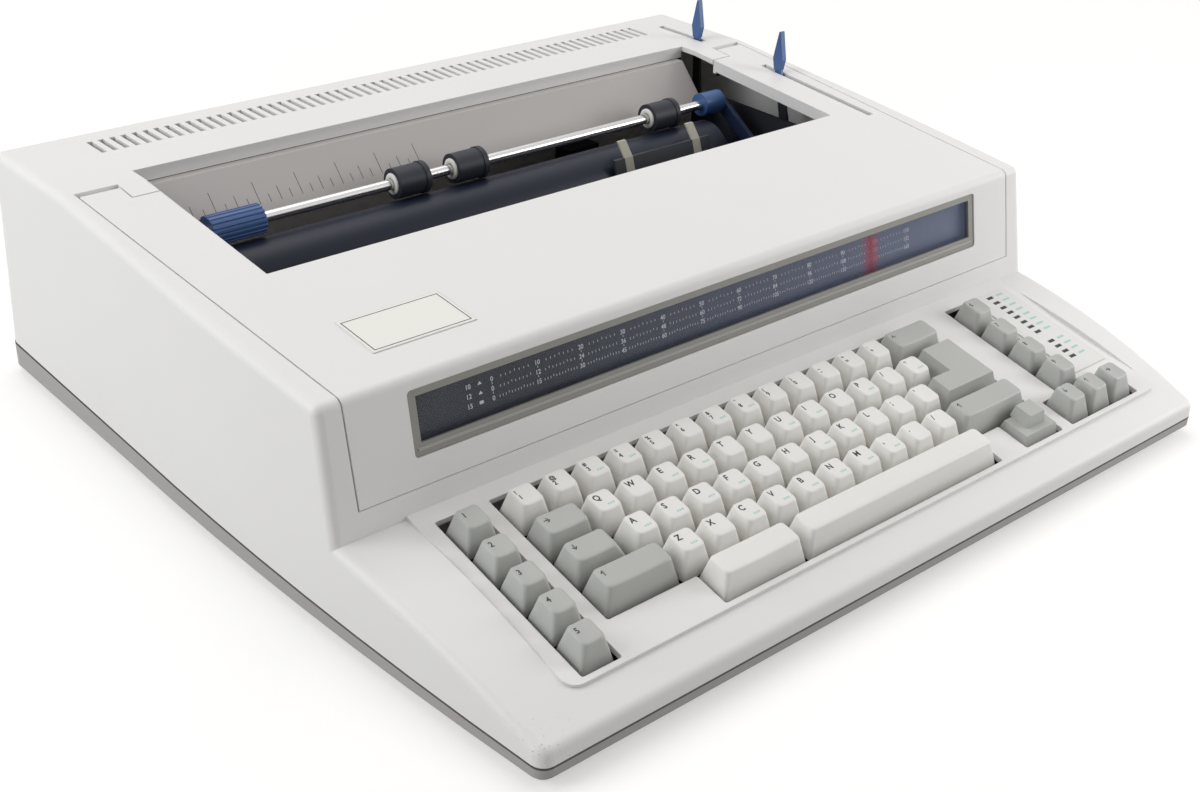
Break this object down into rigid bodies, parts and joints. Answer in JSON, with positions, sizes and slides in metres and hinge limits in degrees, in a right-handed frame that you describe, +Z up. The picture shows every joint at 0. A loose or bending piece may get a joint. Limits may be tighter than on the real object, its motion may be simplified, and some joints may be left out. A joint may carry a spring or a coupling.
{
  "type": "electronic typewriter",
  "caption": "Electronic typewriter with a full keyboard, hinged access cover, platen, paper bail and sliding print carriage under a long scale window.",
  "frame": {"origin": "on the table, under the middle of the machine, halfway across and halfway from front to back", "axes": "+X along the rows of keys to the right as the typist sees them, +Y from the keyboard to the rear, +Z up"},
  "size_m": [0.4778, 0.4476, 0.1523],
  "materials": {
    "case_plastic": "satin",
    "base_plastic": "matte",
    "foot_rubber": "matte",
    "overlay_plastic": "satin",
    "frame_steel": "satin",
    "board_laminate": "satin",
    "core_iron": "matte",
    "bright_steel": "satin",
    "rest_plastic": "matte",
    "motor_metal": "satin",
    "black_plastic": "satin",
    "belt_rubber": "matte",
    "bezel_plastic": "matte",
    "lens_glass": "gloss",
    "scale_plastic": "gloss",
    "platen_rubber": "matte",
    "white_nylon": "satin",
    "roller_rubber": "matte",
    "blue_plastic": "satin",
    "red_plastic": "satin",
    "holder_plastic": "satin",
    "wheel_plastic": "satin",
    "key_white": "satin",
    "key_grey": "satin"
  },
  "bodies": {
    "machine": {"base_pan": "base_plastic", "rubber_feet": "foot_rubber", "upper_case": "case_plastic", "hinge_pins": "bright_steel", "indicator_panel": "overlay_plastic", "key_frame": "frame_steel", "circuit_board": "board_laminate", "transformer": "core_iron", "side_frames": "frame_steel", "carriage_rails": "bright_steel", "paper_rest": "rest_plastic", "feed_motor": "motor_metal", "carriage_motor": "motor_metal", "belt_idler": "black_plastic", "drive_belt": "belt_rubber", "case_screws": "bright_steel", "power_inlet": "black_plastic"},
    "cover": {"access_cover": "case_plastic", "window_bezel": "bezel_plastic", "window_lens": "lens_glass", "scale_strip": "scale_plastic"},
    "platen_unit": {"platen": "platen_rubber", "platen_gear": "white_nylon"},
    "pinion": {"motor_pinion": "white_nylon"},
    "feed": {"feed_roller": "roller_rubber"},
    "bail": {"paper_bail": "bright_steel", "bail_knobs": "blue_plastic"},
    "roller_left": {"bail_roller_left": "roller_rubber"},
    "roller_middle": {"bail_roller_middle": "roller_rubber"},
    "roller_right": {"bail_roller_right": "roller_rubber"},
    "bail_handle": {"bail_lever": "blue_plastic"},
    "release_handle": {"paper_release_lever": "blue_plastic"},
    "carriage": {"carriage_frame": "frame_steel", "ribbon_cassette": "black_plastic", "position_pointer": "red_plastic", "paper_fingers": "holder_plastic"},
    "wheel": {"print_wheel": "wheel_plastic"},
    "hammer": {"print_hammer": "bright_steel"},
    "left_key_1": {"left_key_1": "key_grey"},
    "left_key_2": {"left_key_2": "key_grey"},
    "left_key_3": {"left_key_3": "key_grey"},
    "left_key_4": {"left_key_4": "key_grey"},
    "left_key_5": {"left_key_5": "key_grey"},
    "tab_key": {"tab_key": "key_grey"},
    "lock_key": {"lock_key": "key_grey"},
    "left_shift_key": {"left_shift_key": "key_grey"},
    "right_shift_key": {"right_shift_key": "key_grey"},
    "backspace_key": {"backspace_key": "key_grey"},
    "return_key": {"return_key": "key_grey"},
    "stepped_key": {"stepped_key": "key_grey"},
    "right_column_keys": {"right_column_keys": "key_grey"},
    "front_key_1": {"front_key_1": "key_grey"},
    "front_key_2": {"front_key_2": "key_grey"},
    "front_key_3": {"front_key_3": "key_grey"},
    "number_row_keys": {"number_row_keys": "key_white"},
    "upper_row_keys": {"upper_row_keys": "key_white"},
    "home_row_keys": {"home_row_keys": "key_white"},
    "lower_row_keys": {"lower_row_keys": "key_white"},
    "code_key": {"code_key": "key_white"},
    "space_bar": {"space_bar": "key_white"}
  },
  "joints": [
    {"name": "cover_hinge", "type": "hinge", "parent": "machine", "child": "cover", "pos_m": [0, 0.131, 0.12232], "axis": [-1, 0, 0], "range_deg": [0, 65]},
    {"name": "platen_spin", "type": "hinge", "parent": "machine", "child": "platen_unit", "pos_m": [0, 0.094, 0.078], "axis": [1, 0, 0], "continuous": true},
    {"name": "pinion_spin", "type": "hinge", "parent": "machine", "child": "pinion", "pos_m": [0, 0.1095, 0.05115], "axis": [1, 0, 0], "continuous": true},
    {"name": "feed_spin", "type": "hinge", "parent": "machine", "child": "feed", "pos_m": [0, 0.086, 0.05321], "axis": [1, 0, 0], "continuous": true},
    {"name": "bail_swing", "type": "hinge", "parent": "machine", "child": "bail", "pos_m": [0, 0.062, 0.078], "axis": [1, 0, 0], "range_deg": [0, 35]},
    {"name": "roller_left_spin", "type": "hinge", "parent": "bail", "child": "roller_left", "pos_m": [-0.054, 0.104, 0.105], "axis": [1, 0, 0], "continuous": true},
    {"name": "roller_middle_spin", "type": "hinge", "parent": "bail", "child": "roller_middle", "pos_m": [-0.015, 0.104, 0.105], "axis": [1, 0, 0], "continuous": true},
    {"name": "roller_right_spin", "type": "hinge", "parent": "bail", "child": "roller_right", "pos_m": [0.131, 0.104, 0.105], "axis": [1, 0, 0], "continuous": true},
    {"name": "bail_lever_swing", "type": "hinge", "parent": "machine", "child": "bail_handle", "pos_m": [0.213, 0.06, 0.03], "axis": [1, 0, 0], "range_deg": [0, 38.6]},
    {"name": "release_lever_swing", "type": "hinge", "parent": "machine", "child": "release_handle", "pos_m": [0.21, 0.148, 0.03], "axis": [-1, 0, 0], "range_deg": [0, 17]},
    {"name": "carriage_slide", "type": "slide", "parent": "machine", "child": "carriage", "axis": [1, 0, 0], "range_m": [-0.248, 0.03]},
    {"name": "wheel_spin", "type": "hinge", "parent": "carriage", "child": "wheel", "pos_m": [0.109, 0.0696, 0.046], "axis": [0, 1, 0], "continuous": true},
    {"name": "hammer_slide", "type": "slide", "parent": "carriage", "child": "hammer", "axis": [0, 1, 0], "range_m": [0, 0.002], "stiffness_N_per_m": 200, "springref_m": -0.001},
    {"name": "left_key_1_press", "type": "slide", "parent": "machine", "child": "left_key_1", "axis": [0, 0.213, -0.977], "range_m": [0, 0.0038], "stiffness_N_per_m": 150, "springref_m": -0.002},
    {"name": "left_key_2_press", "type": "slide", "parent": "machine", "child": "left_key_2", "axis": [0, 0.213, -0.977], "range_m": [0, 0.0038], "stiffness_N_per_m": 150, "springref_m": -0.002},
    {"name": "left_key_3_press", "type": "slide", "parent": "machine", "child": "left_key_3", "axis": [0, 0.213, -0.977], "range_m": [0, 0.0038], "stiffness_N_per_m": 150, "springref_m": -0.002},
    {"name": "left_key_4_press", "type": "slide", "parent": "machine", "child": "left_key_4", "axis": [0, 0.213, -0.977], "range_m": [0, 0.0038], "stiffness_N_per_m": 150, "springref_m": -0.002},
    {"name": "left_key_5_press", "type": "slide", "parent": "machine", "child": "left_key_5", "axis": [0, 0.213, -0.977], "range_m": [0, 0.0038], "stiffness_N_per_m": 150, "springref_m": -0.002},
    {"name": "tab_key_press", "type": "slide", "parent": "machine", "child": "tab_key", "axis": [0, 0.213, -0.977], "range_m": [0, 0.0038], "stiffness_N_per_m": 150, "springref_m": -0.002},
    {"name": "lock_key_press", "type": "slide", "parent": "machine", "child": "lock_key", "axis": [0, 0.213, -0.977], "range_m": [0, 0.0038], "stiffness_N_per_m": 150, "springref_m": -0.002},
    {"name": "left_shift_key_press", "type": "slide", "parent": "machine", "child": "left_shift_key", "axis": [0, 0.213, -0.977], "range_m": [0, 0.0038], "stiffness_N_per_m": 180, "springref_m": -0.002},
    {"name": "right_shift_key_press", "type": "slide", "parent": "machine", "child": "right_shift_key", "axis": [0, 0.213, -0.977], "range_m": [0, 0.0038], "stiffness_N_per_m": 200, "springref_m": -0.002},
    {"name": "backspace_key_press", "type": "slide", "parent": "machine", "child": "backspace_key", "axis": [0, 0.213, -0.977], "range_m": [0, 0.0038], "stiffness_N_per_m": 180, "springref_m": -0.002},
    {"name": "return_key_press", "type": "slide", "parent": "machine", "child": "return_key", "axis": [0, 0.213, -0.977], "range_m": [0, 0.0038], "stiffness_N_per_m": 250, "springref_m": -0.002},
    {"name": "stepped_key_press", "type": "slide", "parent": "machine", "child": "stepped_key", "axis": [0, 0.213, -0.977], "range_m": [0, 0.0038], "stiffness_N_per_m": 150, "springref_m": -0.002},
    {"name": "right_column_keys_press", "type": "slide", "parent": "machine", "child": "right_column_keys", "axis": [0, 0.213, -0.977], "range_m": [0, 0.0038], "stiffness_N_per_m": 600, "springref_m": -0.002},
    {"name": "front_key_1_press", "type": "slide", "parent": "machine", "child": "front_key_1", "axis": [0, 0.213, -0.977], "range_m": [0, 0.0038], "stiffness_N_per_m": 150, "springref_m": -0.002},
    {"name": "front_key_2_press", "type": "slide", "parent": "machine", "child": "front_key_2", "axis": [0, 0.213, -0.977], "range_m": [0, 0.0038], "stiffness_N_per_m": 150, "springref_m": -0.002},
    {"name": "front_key_3_press", "type": "slide", "parent": "machine", "child": "front_key_3", "axis": [0, 0.213, -0.977], "range_m": [0, 0.0038], "stiffness_N_per_m": 150, "springref_m": -0.002},
    {"name": "number_row_keys_press", "type": "slide", "parent": "machine", "child": "number_row_keys", "axis": [0, 0.213, -0.977], "range_m": [0, 0.0038], "stiffness_N_per_m": 1600, "springref_m": -0.002},
    {"name": "upper_row_keys_press", "type": "slide", "parent": "machine", "child": "upper_row_keys", "axis": [0, 0.213, -0.977], "range_m": [0, 0.0038], "stiffness_N_per_m": 1500, "springref_m": -0.002},
    {"name": "home_row_keys_press", "type": "slide", "parent": "machine", "child": "home_row_keys", "axis": [0, 0.213, -0.977], "range_m": [0, 0.0038], "stiffness_N_per_m": 1400, "springref_m": -0.002},
    {"name": "lower_row_keys_press", "type": "slide", "parent": "machine", "child": "lower_row_keys", "axis": [0, 0.213, -0.977], "range_m": [0, 0.0038], "stiffness_N_per_m": 1300, "springref_m": -0.002},
    {"name": "code_key_press", "type": "slide", "parent": "machine", "child": "code_key", "axis": [0, 0.213, -0.977], "range_m": [0, 0.0038], "stiffness_N_per_m": 200, "springref_m": -0.002},
    {"name": "space_bar_press", "type": "slide", "parent": "machine", "child": "space_bar", "axis": [0, 0.213, -0.977], "range_m": [0, 0.0038], "stiffness_N_per_m": 400, "springref_m": -0.002}
  ],
  "couplings": [
    {"joint": "pinion_spin", "follows": "platen_spin", "ratio": -2.875},
    {"joint": "feed_spin", "follows": "platen_spin", "ratio": -3.1452},
    {"joint": "bail_lever_swing", "follows": "bail_swing", "ratio": 1.1}
  ]
}
